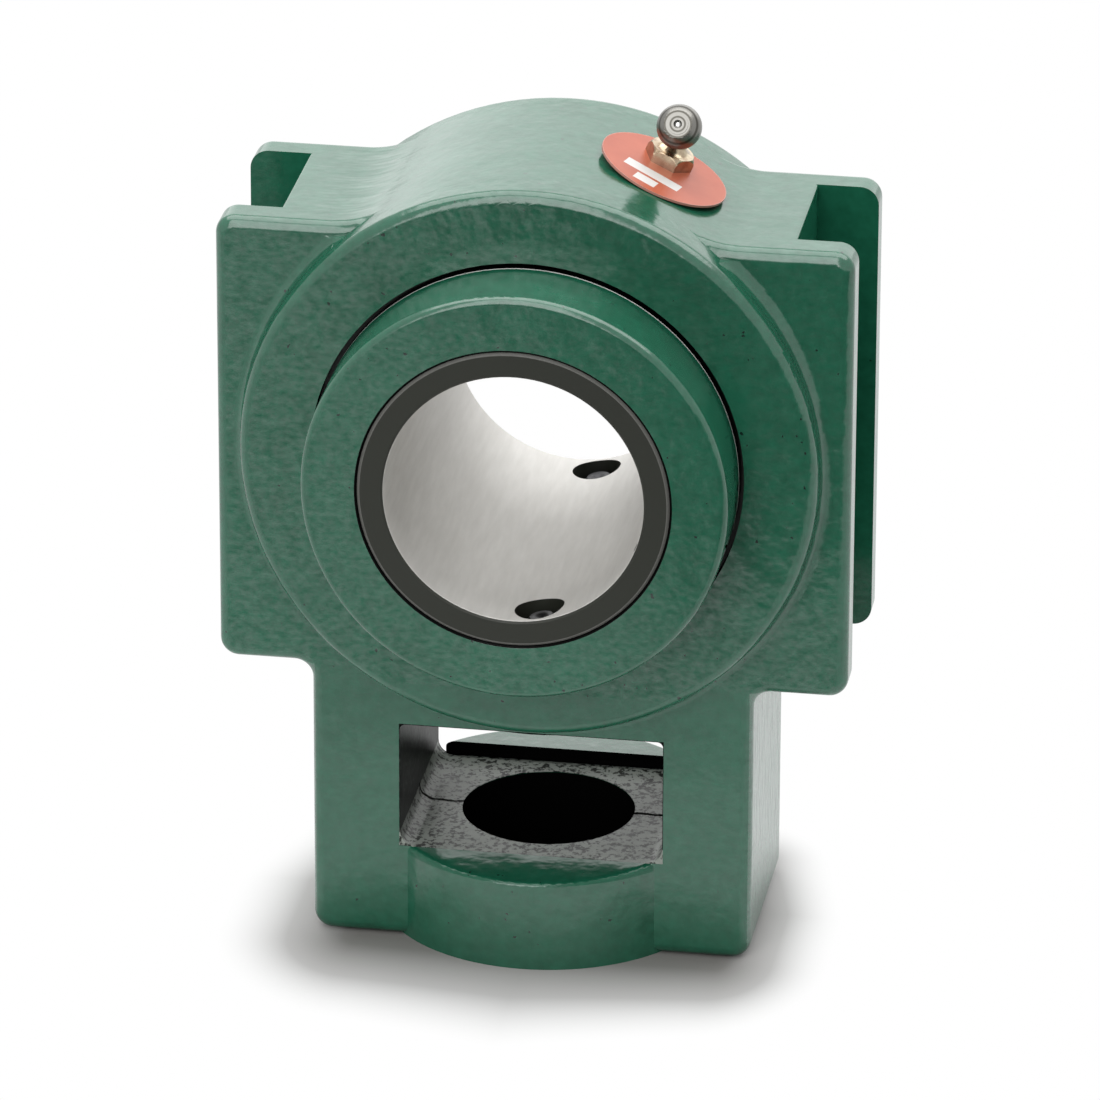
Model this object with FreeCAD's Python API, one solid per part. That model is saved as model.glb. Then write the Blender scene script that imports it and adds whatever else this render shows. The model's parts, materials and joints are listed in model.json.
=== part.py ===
import FreeCAD, Part
import math
import os
from FreeCAD import Placement, Rotation, Vector

# Take-up bearing unit, millimetres. The shaft axis is Y, the front looks along -Y
# and the unit stands on the flat end of its foot, with +Z up.
# The origin is on the shaft axis, half way between the two guide flanges.

# Across the shaft: race, collars, cup seats and boss are built out from the shaft
SHAFT_R = 19.05           # 1-1/2 inch shaft
RACE_WALL = 3.85          # the ends of the inner race, under the collars
COLLAR_WALL = 8.4
COLLAR_GAP = 0.7          # running gap of the collars in the housing
CUP_SHOULDER = 2.6        # step from the front opening to the cup seat
RING_THREAD_H = 0.7       # step from the cup seat to the rear thread
BOSS_WALL = 7.4           # cast wall outside the rear thread
RACE_END_R = SHAFT_R + RACE_WALL
COLLAR_R = RACE_END_R + COLLAR_WALL
OPENING_R = COLLAR_R + COLLAR_GAP
CUP_OUTER_R = OPENING_R + CUP_SHOULDER
RING_OUTER_R = CUP_OUTER_R + RING_THREAD_H
CROWN_R = RING_OUTER_R + BOSS_WALL

# Along the shaft, from the middle of the bearing outwards
BEARING_Y = -2.6          # middle of the bearing
ROW_GAP = 2.2             # middle of the bearing to the large end of a roller
ROLLER_L = 10.0
CUP_OVERRUN = 0.4         # the cup runs on past the small end of a roller
SEAL_SPACE = 3.2
COLLAR_SEAL_GAP = 1.2
COLLAR_L = 14.1
FRONT_LIP = 3.2           # wall of the housing in front of the bearing
RING_W = 5.6
RING_RECESS = 1.2         # the adjusting ring lies this deep in the rear of the boss
ROW_MIDDLE = ROW_GAP + ROLLER_L / 2
CUP_END = ROW_GAP + ROLLER_L + CUP_OVERRUN
SEAL_END = CUP_END + SEAL_SPACE
COLLAR_INNER_END = SEAL_END + COLLAR_SEAL_GAP
RACE_HALF_L = COLLAR_INNER_END + COLLAR_L
BOSS_FRONT = BEARING_Y - SEAL_END - FRONT_LIP
RING_START = BEARING_Y + SEAL_END
RING_END = RING_START + RING_W
BOSS_REAR = RING_END + RING_RECESS

# Housing casting
FLANGE_HALF_W = 46.9      # half width over the guide flanges
FLANGE_TOP = 34.3         # height of the flange tops over the shaft axis
FLANGE_BOTTOM = -35.6     # lower edge of the flanges, where the foot starts
HOUSING_HALF_D = 16.7     # half depth over the two flanges
SLOT_HALF_W = 11.2        # half width of the slot that the frame rail fills
SLOT_FLOOR_X = 37.9       # half distance between the two slot floors
SLOT_FLOOR_EDGE_R = 0.4   # ends of the slot floors
FOOT_HALF_W = 33.0
FOOT_BOTTOM = -79.2
CORNER_R = 2.8            # corners of the casting seen from the front
FOOT_NECK_R = 2.7         # inside corner between flange and foot
SLOT_NECK_R = 1.6         # the same corner between the flanges
EDGE_R = 1.8              # rounded front and rear edges of the casting
CROWN_BLEND_R = 15.0      # hollow fillet from crown down to the flange tops
BOSS_FLARE = 2.2          # hollow fillet from boss to flange face
BOSS_EDGE_R = 1.8

# Nut window and boss of the take-up screw
WINDOW_HALF_W = 19.75
LINTEL = 1.8              # metal left between the boss and the window
WINDOW_TOP_CORNER_R = 0.9
WINDOW_FLOOR_CORNER_R = 2.3
SCREW_BOSS_H = 15.0
SCREW_BOSS_R = 25.0
SCREW_HOLE_R = 13.0
REAR_LIP = 2.0            # the rear half of the screw boss stands this much higher
FRONT_FALL = 1.1          # its front, outside the foot, falls by this much
SCREW_BOSS_EDGE_R = 0.8
WINDOW_TOP = -CROWN_R - LINTEL
WINDOW_FLOOR = FOOT_BOTTOM + SCREW_BOSS_H

# Tapered rows, with their large ends at the middle
ROLLER_RISE = 8.5         # roller axis over the shaft, middle of a row
ROLLER_TILT = 13.25       # roller axis to shaft axis, degrees
ROLLER_TAPER = 1.5        # half taper of a roller, degrees
ROLLERS_PER_ROW = 18
ROLLER_PLAY = 0.08
RIB_DROP = 0.05           # the centre rib ends this much under the roller axes
RACEWAY_RELIEF = 0.25     # undercut beside rib and lip
OUTER_LIP_H = 0.7
CUP_FIT = 0.03            # slip of cups, spacer and seals in the housing bore
CUP_CHAMFER = 0.5
PITCH_R = SHAFT_R + ROLLER_RISE

# Cages, pressed from sheet
CAGE_INSIDE = 0.9         # from the roller axis out to the inside of the sheet
CAGE_SHEET = 0.8
CAGE_POCKET_PLAY = 0.15
CAGE_BIG_BAND = 1.2       # sheet past the large ends of the rollers
CAGE_SMALL_BAND = 1.1
CAGE_FLANGE_DEPTH = 1.7

# Seals
SEAL_RIM_WALL = 2.8
SEAL_WEB = 1.4
SEAL_LIP_GAP = 0.05

# Adjusting ring screwed into the rear of the bore, and its lock pin
RING_WALL = 3.4
RING_FIT = 0.03
RING_NOTCHES = 4
RING_NOTCH_W = 5.0
RING_NOTCH_DEPTH = 1.6
RING_NOTCH_FLOOR = 1.2    # wall left outside a notch
LOCK_PIN_R = 1.2
LOCK_PIN_L = 4.5
LOCK_PIN_FIT = 0.03
LOCK_PIN_ANGLE = 120.0
RING_INNER_R = RING_OUTER_R - RING_WALL

# Set collars and their screws
COLLAR_BORE_FIT = 0.03
COLLAR_EDGE_R = 1.1
COLLAR_INNER_CHAMFER = 0.3
RACE_CHAMFER = 0.35
SCREW_FROM_END = 4.6      # screw axis to the end of the race
SCREW_ANGLES = (-80.0, -15.0)
SET_SCREW_R = 3.175
SET_SCREW_FIT = 0.06
SCREW_BACKED_OFF = 1.0    # the tip stands this far off the shaft, as in stock
SCREW_RECESS = 3.35       # the head lies this deep in the collar
SET_SCREW_POINT_R = 1.7
SET_SCREW_CUP = 0.55      # depth of the cup in the point
SET_SCREW_CHAMFER = 0.4
SOCKET_AF = 3.18
SOCKET_DEPTH = 3.4
RACE_HOLE_GAP = 0.525
SET_SCREW_TIP = SHAFT_R + SCREW_BACKED_OFF
SET_SCREW_L = COLLAR_R - SET_SCREW_TIP - SCREW_RECESS

# Label washer and elbow grease fitting on the crown
GREASE_ANGLE = 22.9       # from straight up towards +X
FITTING_Y = 3.0
LABEL_R = 9.8
LABEL_T = 0.35
LABEL_LIFT = 0.1          # underside of the flat washer over the crown
LABEL_FORWARD = 3.4       # the washer's hole is this far behind its middle
LABEL_HOLE_GAP = 0.2
FITTING_THREAD_R = 2.9
FITTING_THREAD_L = 4.6
FITTING_THREAD_FIT = 0.05
THREAD_RUNOUT = 0.4
HEX_AF = 6.5
HEX_H = 2.0
HEX_CORNER_H = 1.1        # the chamfer leaves this much of each corner
HEX_TURN = -8.5           # about the fitting's axis, degrees
SHOULDER_H = 1.7          # hollow shoulder from the hexagon up to the neck
NECK_R = 1.55
ELBOW_H = 5.1             # elbow point over the washer
ELBOW_BEND = 62.3         # bend of the fitting, degrees
ELBOW_SWIVEL = -9.7       # from straight forwards towards +X, degrees
HEAD_OFFSET = 4.2         # head centre from the elbow point
HEAD_R = 3.33
HEAD_FLAT_R = 2.0
CRIMP_R = 1.5             # low round land at the tip
CRIMP_H = 0.15
PASSAGE_R = 1.0
TIP_HOLE_R = 0.62
TIP_WALL = 0.45
CHECK_BALL_R = 0.88
CHECK_BALL_GAP = 0.03
SPRING_WIRE_R = 0.16
SPRING_COIL_R = 0.68
SPRING_TURNS = 4
SPRING_L = 2.6
SPRING_GAP = 0.02
LABEL_SEAT = CROWN_R + LABEL_LIFT
HEX_SEAT = LABEL_SEAT + LABEL_T

# Grease way and the ring between the cups
GREASE_WAY_R = 1.5
GROOVE_W = 2.4
GROOVE_DEPTH = 0.8
GROOVE_OVERRUN = 0.6      # the groove in the cup seat runs on past the grease way
SPACER_WALL = 2.0
SPACER_HOLES = 4
SPACER_HOLE_R = 1.0

Y_AXIS = Vector(0, 1, 0)
Z_AXIS = Vector(0, 0, 1)
ORIGIN = Vector(0, 0, 0)
EIGHTH = math.pi / 4      # half of a quarter turn, for the middle of a round


def point(x, z, y=0.0):
    return Vector(x, y, z)


def box(x0, x1, y0, y1, z0, z1):
    return Part.makeBox(x1 - x0, y1 - y0, z1 - z0, Vector(x0, y0, z0))


def cylinder_y(radius, y0, y1):
    return Part.makeCylinder(radius, y1 - y0, Vector(0, y0, 0), Y_AXIS)


def ring_y(outer, inner, y0, y1):
    return cylinder_y(outer, y0, y1).cut(cylinder_y(inner, y0 - 1, y1 + 1))


def unit(vector):
    return Vector(vector).normalize()


def rounded_corner(before, here, after, radius):
    """Start, middle and end of the arc that rounds one corner."""
    to_before = unit(before.sub(here))
    to_after = unit(after.sub(here))
    half = math.acos(max(-1.0, min(1.0, to_before.dot(to_after)))) / 2
    run = radius / math.tan(half)
    inward = unit(to_before.add(to_after))
    centre = here.add(Vector(inward).multiply(radius / math.sin(half)))
    return (here.add(Vector(to_before).multiply(run)),
            centre.sub(Vector(inward).multiply(radius)),
            here.add(Vector(to_after).multiply(run)))


def rounded_path(corners, closed=True):
    """Lines and arcs along corners given as (point, radius)."""
    count = len(corners)
    bends = []
    for i, (here, radius) in enumerate(corners):
        inner = closed or 0 < i < count - 1
        if inner and radius > 0:
            bends.append(rounded_corner(corners[i - 1][0], here,
                                        corners[(i + 1) % count][0], radius))
        else:
            bends.append((here, None, here))
    edges = []
    for i, (start, middle, end) in enumerate(bends):
        if middle is not None:
            edges.append(Part.Arc(start, middle, end).toShape())
        if closed or i < count - 1:
            following = bends[(i + 1) % count][0]
            if end.distanceToPoint(following) > 1e-6:
                edges.append(Part.makeLine(end, following))
    return edges


def extruded(edges, y0, y1):
    face = Part.Face(Part.Wire(edges))
    face.translate(Vector(0, y0, 0))
    return face.extrude(Vector(0, y1 - y0, 0))


def turned(edges):
    return Part.Face(Part.Wire(edges)).revolve(ORIGIN, Y_AXIS, 360)


def revolved(points):
    """Turned body about the shaft axis from (radius, y) points."""
    corners = [Vector(r, y, 0) for r, y in points]
    return turned([Part.makeLine(a, b) for a, b in zip(corners, corners[1:] + corners[:1])])


def turned_row(points, side):
    """Turned body from (radius, distance from bearing middle) points of one row."""
    return revolved([(r, BEARING_Y + side * t) for r, t in points])


def softened(shape, edges, radius):
    """Round edges, by less where the full radius does not fit."""
    for share in (1.0, 0.6, 0.3):
        try:
            rounded = shape.makeFillet(radius * share, edges)
            if rounded.isValid() and rounded.Volume > 0:
                return rounded
        except Part.OCCError:
            continue
    return shape


def edges_in_plane(shape, y):
    found = []
    for edge in shape.Edges:
        bounds = edge.BoundBox
        if abs(bounds.YMin - y) < 1e-4 and abs(bounds.YMax - y) < 1e-4:
            found.append(edge)
    return found


# Housing

def crown_arcs(top, crown, blend):
    """Hollow fillet, crown and hollow fillet, from the left flange top to the right one."""
    centre_x = math.sqrt((crown + blend) ** 2 - (top + blend) ** 2)
    lean = math.atan2(centre_x, top + blend)
    arcs = []
    ends = []
    for side in (-1, 1):
        centre = point(side * centre_x, top + blend)
        deck = point(side * centre_x, top)
        high = point(side * crown * math.sin(lean), crown * math.cos(lean))
        middle = centre.add(point(-side * blend * math.sin(lean / 2), -blend * math.cos(lean / 2)))
        arcs.append((deck, middle, high))
        ends.append(high)
    left, right = arcs
    return [Part.Arc(*left).toShape(),
            Part.Arc(ends[0], point(0, crown), ends[1]).toShape(),
            Part.Arc(*reversed(right)).toShape()], left[0], right[0]


def silhouette(half_w, corner_r, neck_r, inset=0.0):
    """Outline of the casting seen from the front; inset draws it smaller all round."""
    arcs, left_end, right_end = crown_arcs(FLANGE_TOP - inset, CROWN_R - inset,
                                           CROWN_BLEND_R + inset)
    w, f = half_w - inset, FOOT_HALF_W - inset
    top, shelf, bottom = FLANGE_TOP - inset, FLANGE_BOTTOM + inset, FOOT_BOTTOM + inset
    right = [(point(w, top), corner_r), (point(w, shelf), corner_r),
             (point(f, shelf), neck_r), (point(f, bottom), CORNER_R - inset)]
    left = [(point(-p.x, p.z), r) for p, r in reversed(right)]
    return arcs + rounded_path([(right_end, 0)] + right + left + [(left_end, 0)], closed=False)


def flange_plate(side):
    outer = side * HOUSING_HALF_D
    inner = side * SLOT_HALF_W
    outline = silhouette(FLANGE_HALF_W, CORNER_R, FOOT_NECK_R)
    plate = extruded(outline, min(outer, inner), max(outer, inner))
    return softened(plate, edges_in_plane(plate, outer), EDGE_R)


def core():
    outline = silhouette(SLOT_FLOOR_X, SLOT_FLOOR_EDGE_R, SLOT_NECK_R)
    return extruded(outline, -SLOT_HALF_W, SLOT_HALF_W)


def boss():
    """Round boss with a rounded rim at both ends."""
    return turned(rounded_path([
        (Vector(0, BOSS_FRONT, 0), 0), (Vector(CROWN_R, BOSS_FRONT, 0), BOSS_EDGE_R),
        (Vector(CROWN_R, BOSS_REAR, 0), BOSS_EDGE_R), (Vector(0, BOSS_REAR, 0), 0)]))


def flare(side, height):
    """Hollow fillet between the boss wall and one flange face."""
    f = min(BOSS_FLARE, height * 0.4)
    face_y = side * HOUSING_HALF_D
    inside = CROWN_R - 2
    wall_end = Vector(CROWN_R, face_y + side * f, 0)
    face_end = Vector(CROWN_R + f, face_y, 0)
    middle = Vector(CROWN_R + f * (1 - math.cos(EIGHTH)),
                    face_y + side * f * (1 - math.sin(EIGHTH)), 0)
    root = face_y - side * EDGE_R
    edges = [Part.Arc(wall_end, middle, face_end).toShape()]
    corners = [face_end, Vector(CROWN_R + f, root, 0), Vector(inside, root, 0),
               Vector(inside, wall_end.y, 0), wall_end]
    edges += [Part.makeLine(a, b) for a, b in zip(corners, corners[1:])]
    inset = silhouette(FLANGE_HALF_W, CORNER_R - EDGE_R, FOOT_NECK_R + EDGE_R, EDGE_R)
    return turned(edges).common(extruded(inset, face_y - 3, face_y + 3))


def screw_boss():
    """Upright boss that bulges from the foot: higher behind, falling away in front."""
    r = SCREW_BOSS_R
    full = Part.makeCylinder(r, SCREW_BOSS_H + REAR_LIP, point(0, FOOT_BOTTOM), Z_AXIS)
    above_front = box(-r - 1, r + 1, -r - 1, 0, WINDOW_FLOOR, WINDOW_FLOOR + REAR_LIP + 1)
    fall = [Vector(-r - 1, -HOUSING_HALF_D, WINDOW_FLOOR),
            Vector(-r - 1, -r - 1, WINDOW_FLOOR - FRONT_FALL),
            Vector(-r - 1, -r - 1, WINDOW_FLOOR + 1),
            Vector(-r - 1, -HOUSING_HALF_D, WINDOW_FLOOR + 1)]
    above_slope = Part.Face(Part.makePolygon(fall + fall[:1])).extrude(Vector(2 * r + 2, 0, 0))
    body = full.cut([above_front, above_slope])
    rims = []
    for edge in body.Edges:
        bounds = edge.BoundBox
        outside = abs(bounds.Center.y) > HOUSING_HALF_D * 0.5
        if outside and bounds.ZMin > FOOT_BOTTOM + 1 and bounds.XLength > r and bounds.YLength > 1:
            rims.append(edge)
    return softened(body, rims, SCREW_BOSS_EDGE_R)


def window():
    w = WINDOW_HALF_W
    outline = rounded_path([
        (point(w, WINDOW_TOP), WINDOW_TOP_CORNER_R),
        (point(w, WINDOW_FLOOR), WINDOW_FLOOR_CORNER_R),
        (point(-w, WINDOW_FLOOR), WINDOW_FLOOR_CORNER_R),
        (point(-w, WINDOW_TOP), WINDOW_TOP_CORNER_R)])
    return extruded(outline, -HOUSING_HALF_D, HOUSING_HALF_D)


def rail_slots():
    """Room for the frame rails between the flanges, one each side."""
    reach = CROWN_R + FLANGE_HALF_W
    return [box(min(side * SLOT_FLOOR_X, side * reach), max(side * SLOT_FLOOR_X, side * reach),
                -SLOT_HALF_W, SLOT_HALF_W, FLANGE_BOTTOM - 1, FLANGE_TOP + CROWN_R)
            for side in (-1, 1)]


def bearing_bore():
    """Front opening, cup seat, rear thread and the groove that brings the grease."""
    front_seat = BEARING_Y - SEAL_END
    bore = revolved([
        (0.0, BOSS_FRONT - 1), (OPENING_R, BOSS_FRONT - 1), (OPENING_R, front_seat),
        (CUP_OUTER_R, front_seat), (CUP_OUTER_R, RING_START), (RING_OUTER_R, RING_START),
        (RING_OUTER_R, BOSS_REAR + 1), (0.0, BOSS_REAR + 1)])
    groove = ring_y(CUP_OUTER_R + GROOVE_DEPTH, CUP_OUTER_R - 1, BEARING_Y - GROOVE_W / 2,
                    FITTING_Y + GREASE_WAY_R + GROOVE_OVERRUN)
    return bore.fuse(groove)


def grease_direction():
    a = math.radians(GREASE_ANGLE)
    return Vector(math.sin(a), 0, math.cos(a))


def grease_point(height, forward=0.0):
    """Point at a height over the shaft axis on the fitting's axis, or forward of it."""
    return grease_direction().multiply(height).add(Vector(0, FITTING_Y - forward, 0))


def grease_cylinder(radius, low, high, forward=0.0):
    return Part.makeCylinder(radius, high - low, grease_point(low, forward), grease_direction())


def lock_pin_cylinder(radius, y0, y1):
    a = math.radians(LOCK_PIN_ANGLE)
    at = point(RING_OUTER_R * math.cos(a), RING_OUTER_R * math.sin(a), y0)
    return Part.makeCylinder(radius, y1 - y0, at, Y_AXIS)


def screw_hole():
    return Part.makeCylinder(SCREW_HOLE_R, SCREW_BOSS_H + REAR_LIP + 2,
                             point(0, FOOT_BOTTOM - 1), Z_AXIS)


def housing():
    body = flange_plate(-1).fuse([flange_plate(1), core()])
    body = body.fuse(screw_boss()).cut(window())
    body = body.fuse(boss().cut(rail_slots()))
    body = body.fuse(flare(-1, -HOUSING_HALF_D - BOSS_FRONT))
    body = body.fuse(flare(1, BOSS_REAR - HOUSING_HALF_D))
    thread_bottom = LABEL_SEAT - FITTING_THREAD_L - THREAD_RUNOUT
    thread = grease_cylinder(FITTING_THREAD_R + FITTING_THREAD_FIT, thread_bottom, LABEL_SEAT + 1)
    grease_way = grease_cylinder(GREASE_WAY_R, CUP_OUTER_R - 2, thread_bottom + 1)
    pin_hole = lock_pin_cylinder(LOCK_PIN_R + LOCK_PIN_FIT, RING_END - LOCK_PIN_L, BOSS_REAR + 1)
    body = body.cut([bearing_bore(), screw_hole(), thread, grease_way, pin_hole])
    return body.removeSplitter()


# Bearing geometry: every raceway line meets the shaft axis at one apex per row

def apex():
    return ROW_MIDDLE + PITCH_R / math.tan(math.radians(ROLLER_TILT))


def inner_raceway_r(t):
    angle = math.radians(ROLLER_TILT - ROLLER_TAPER)
    return (apex() - t) * math.tan(angle) - ROLLER_PLAY / math.cos(angle)


def outer_raceway_r(t):
    angle = math.radians(ROLLER_TILT + ROLLER_TAPER)
    return (apex() - t) * math.tan(angle) + ROLLER_PLAY / math.cos(angle)


def roller_frame(along, off):
    """(radius, t) of a point along the roller axis (towards its small end) and off it."""
    a = math.radians(ROLLER_TILT)
    radius = PITCH_R - along * math.sin(a) + off * math.cos(a)
    t = ROW_MIDDLE + along * math.cos(a) + off * math.sin(a)
    return radius, t


def roller_radius(along):
    reach = PITCH_R / math.sin(math.radians(ROLLER_TILT)) - along
    return reach * math.tan(math.radians(ROLLER_TAPER))


def race_row_profile():
    """Half of the race section, from the middle of the bearing outwards."""
    half = ROLLER_L / 2
    slope = math.tan(math.radians(ROLLER_TILT))
    big_low = roller_frame(-half, -roller_radius(-half))[1]
    small_low = roller_frame(half, -roller_radius(half))[1]
    rib_r = PITCH_R - RIB_DROP
    rib_root = big_low - ROLLER_PLAY * 1.5
    rib_root_r = inner_raceway_r(rib_root) - RACEWAY_RELIEF
    rib_top = rib_root + (rib_r - rib_root_r) * slope
    lip = small_low + 0.45
    lip_r = inner_raceway_r(lip)
    return [(rib_r, rib_top), (rib_root_r, rib_root), (rib_root_r, rib_root + 0.35),
            (inner_raceway_r(rib_root + 0.6), rib_root + 0.6),
            (inner_raceway_r(lip - 0.3), lip - 0.3), (lip_r - 0.2, lip),
            (lip_r + OUTER_LIP_H, lip), (lip_r + OUTER_LIP_H - 0.2, lip + 0.9),
            (RACE_END_R, lip + 1.4),
            (RACE_END_R, RACE_HALF_L - RACE_CHAMFER), (RACE_END_R - RACE_CHAMFER, RACE_HALF_L),
            (SHAFT_R + RACE_CHAMFER, RACE_HALF_L), (SHAFT_R, RACE_HALF_L - RACE_CHAMFER)]


def screw_direction(angle):
    a = math.radians(angle)
    return Vector(math.cos(a), 0, math.sin(a))


def screw_y(side):
    return BEARING_Y + side * (RACE_HALF_L - SCREW_FROM_END)


def radial_cylinder(radius, angle, y, inner, outer):
    direction = screw_direction(angle)
    start = Vector(direction).multiply(inner).add(Vector(0, y, 0))
    return Part.makeCylinder(radius, outer - inner, start, direction)


def inner_race():
    row = race_row_profile()
    front = [(r, BEARING_Y - t) for r, t in reversed(row)]
    rear = [(r, BEARING_Y + t) for r, t in row]
    race = revolved(front + rear)
    holes = [radial_cylinder(SET_SCREW_R + RACE_HOLE_GAP, angle, screw_y(side),
                             SHAFT_R - 3, RACE_END_R + 2)
             for side in (-1, 1) for angle in SCREW_ANGLES]
    return race.cut(holes)


def cup(side):
    outer = CUP_OUTER_R - CUP_FIT
    return turned_row([(outer - CUP_CHAMFER, ROW_GAP), (outer, ROW_GAP + CUP_CHAMFER),
                       (outer, CUP_END - CUP_CHAMFER), (outer - CUP_CHAMFER, CUP_END),
                       (outer_raceway_r(CUP_END), CUP_END),
                       (outer_raceway_r(ROW_GAP), ROW_GAP)], side)


def cup_spacer():
    """Ring between the cups; its groove and holes pass the grease to the rollers."""
    outer = CUP_OUTER_R - CUP_FIT
    inner = CUP_OUTER_R - SPACER_WALL
    half = GROOVE_W / 2
    spacer = turned_row([(outer, -ROW_GAP), (outer, -half), (outer - GROOVE_DEPTH, -half),
                         (outer - GROOVE_DEPTH, half), (outer, half), (outer, ROW_GAP),
                         (inner, ROW_GAP), (inner, -ROW_GAP)], 1)
    holes = [radial_cylinder(SPACER_HOLE_R, 90 - GREASE_ANGLE + i * 360 / SPACER_HOLES,
                             BEARING_Y, inner - 1, CUP_OUTER_R + 1)
             for i in range(SPACER_HOLES)]
    return spacer.cut(holes)


def roller_turn(side, index):
    """Place of a roller round its row; the rear row stands half a step on."""
    stagger = 0.5 if side > 0 else 0.0
    return (index + stagger) * 2 * math.pi / ROLLERS_PER_ROW


def roller_cone(side, index, grow, half):
    """One roller, or with grow its pocket, at its place in the row."""
    turn = roller_turn(side, index)
    ends = []
    for along in (-half, half):
        r, t = roller_frame(along, 0)
        ends.append(point(r * math.cos(turn), r * math.sin(turn), BEARING_Y + side * t))
    return Part.makeCone(roller_radius(-half) + grow, roller_radius(half) + grow, 2 * half,
                         ends[0], ends[1].sub(ends[0]))


def roller(side, index):
    return roller_cone(side, index, 0.0, ROLLER_L / 2)


def cage(side):
    """Tapered sheet cage with one pocket for each roller and a flange at the small end."""
    inside, outside = CAGE_INSIDE, CAGE_INSIDE + CAGE_SHEET
    half = ROLLER_L / 2
    small_end = half + CAGE_SMALL_BAND
    flange = small_end - CAGE_SHEET
    body = turned_row([
        roller_frame(-half - CAGE_BIG_BAND, inside), roller_frame(-half - CAGE_BIG_BAND, outside),
        roller_frame(small_end, outside), roller_frame(small_end, -CAGE_FLANGE_DEPTH),
        roller_frame(flange, -CAGE_FLANGE_DEPTH), roller_frame(flange, inside)], side)
    pockets = [roller_cone(side, i, CAGE_POCKET_PLAY, half + CAGE_POCKET_PLAY)
               for i in range(ROLLERS_PER_ROW)]
    return body.cut(pockets)


def seal(side):
    """Rimmed seal with a lip that bears on the race outside the rollers."""
    outer = CUP_OUTER_R - CUP_FIT
    rim_r = CUP_OUTER_R - SEAL_RIM_WALL
    lip_r = RACE_END_R + SEAL_LIP_GAP
    web = SEAL_END - SEAL_WEB
    return turned_row([
        (outer, CUP_END), (outer, SEAL_END), (lip_r + 0.9, SEAL_END), (lip_r + 0.4, web + 0.9),
        (lip_r, web + 0.5), (lip_r, web + 0.2), (lip_r + 1.3, web),
        (rim_r, web), (rim_r, CUP_END)], side)


def adjusting_ring():
    outer = RING_OUTER_R - RING_FIT
    ring = ring_y(outer, RING_INNER_R, RING_START, RING_END)
    cuts = [lock_pin_cylinder(LOCK_PIN_R + LOCK_PIN_FIT, RING_END - LOCK_PIN_L, RING_END + 1)]
    for i in range(RING_NOTCHES):
        notch = box(RING_INNER_R - 2, outer - RING_NOTCH_FLOOR, RING_END - RING_NOTCH_DEPTH,
                    RING_END + 1, -RING_NOTCH_W / 2, RING_NOTCH_W / 2)
        notch.rotate(ORIGIN, Y_AXIS, (i + 0.5) * 360 / RING_NOTCHES)
        cuts.append(notch)
    return ring.cut(cuts)


def lock_pin():
    return lock_pin_cylinder(LOCK_PIN_R, RING_END - LOCK_PIN_L, RING_END)


# Collars and set screws

def collar(side):
    bore = RACE_END_R + COLLAR_BORE_FIT
    c = COLLAR_INNER_CHAMFER
    section = [(bore, COLLAR_INNER_END, 0), (COLLAR_R - c, COLLAR_INNER_END, 0),
               (COLLAR_R, COLLAR_INNER_END + c, 0), (COLLAR_R, RACE_HALF_L, COLLAR_EDGE_R),
               (bore + RACE_CHAMFER, RACE_HALF_L, 0), (bore, RACE_HALF_L - RACE_CHAMFER, 0)]
    body = turned(rounded_path([(Vector(r, BEARING_Y + side * t, 0), bend)
                                for r, t, bend in section]))
    holes = [radial_cylinder(SET_SCREW_R + SET_SCREW_FIT, angle, screw_y(side),
                             RACE_END_R - 2, COLLAR_R + 2) for angle in SCREW_ANGLES]
    return body.cut(holes)


def hexagon_prism(across_flats, length):
    radius = across_flats / math.sqrt(3)
    corners = [Vector(radius * math.cos(math.radians(60 * i)),
                      radius * math.sin(math.radians(60 * i)), 0) for i in range(7)]
    return Part.Face(Part.makePolygon(corners)).extrude(Vector(0, 0, length))


def set_screw(side, angle):
    """Socket set screw with a cup point; its own axis is Z from the tip outwards."""
    r, c = SET_SCREW_R, SET_SCREW_CHAMFER
    profile = [(0.0, SET_SCREW_CUP), (SET_SCREW_POINT_R - 0.45, 0.0), (SET_SCREW_POINT_R, 0.0),
               (r, r - SET_SCREW_POINT_R), (r, SET_SCREW_L - c), (r - c, SET_SCREW_L),
               (0.0, SET_SCREW_L)]
    corners = [Vector(x, 0, z) for x, z in profile]
    screw = Part.Face(Part.makePolygon(corners + corners[:1])).revolve(ORIGIN, Z_AXIS, 360)
    socket = hexagon_prism(SOCKET_AF, SOCKET_DEPTH + 1)
    socket.translate(Vector(0, 0, SET_SCREW_L - SOCKET_DEPTH))
    screw = screw.cut(socket)
    direction = screw_direction(angle)
    at = Vector(direction).multiply(SET_SCREW_TIP).add(Vector(0, screw_y(side), 0))
    screw.Placement = Placement(at, Rotation(Z_AXIS, direction))
    return screw


# Grease fitting

def head_direction():
    bend, swivel = math.radians(ELBOW_BEND), math.radians(ELBOW_SWIVEL)
    up = grease_direction()
    across = Vector(up.z, 0, -up.x)
    level = Vector(0, -math.cos(swivel), 0).add(across.multiply(math.sin(swivel)))
    return up.multiply(math.cos(bend)).add(level.multiply(math.sin(bend)))


def on_head_axis(distance):
    elbow = grease_point(HEX_SEAT + ELBOW_H)
    return elbow.add(head_direction().multiply(distance))


def head_flat():
    """Distance of the flat of the head from the elbow point."""
    return HEAD_OFFSET + math.sqrt(HEAD_R ** 2 - HEAD_FLAT_R ** 2)


def head_cylinder(radius, start, end):
    return Part.makeCylinder(radius, end - start, on_head_axis(start), head_direction())


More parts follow.
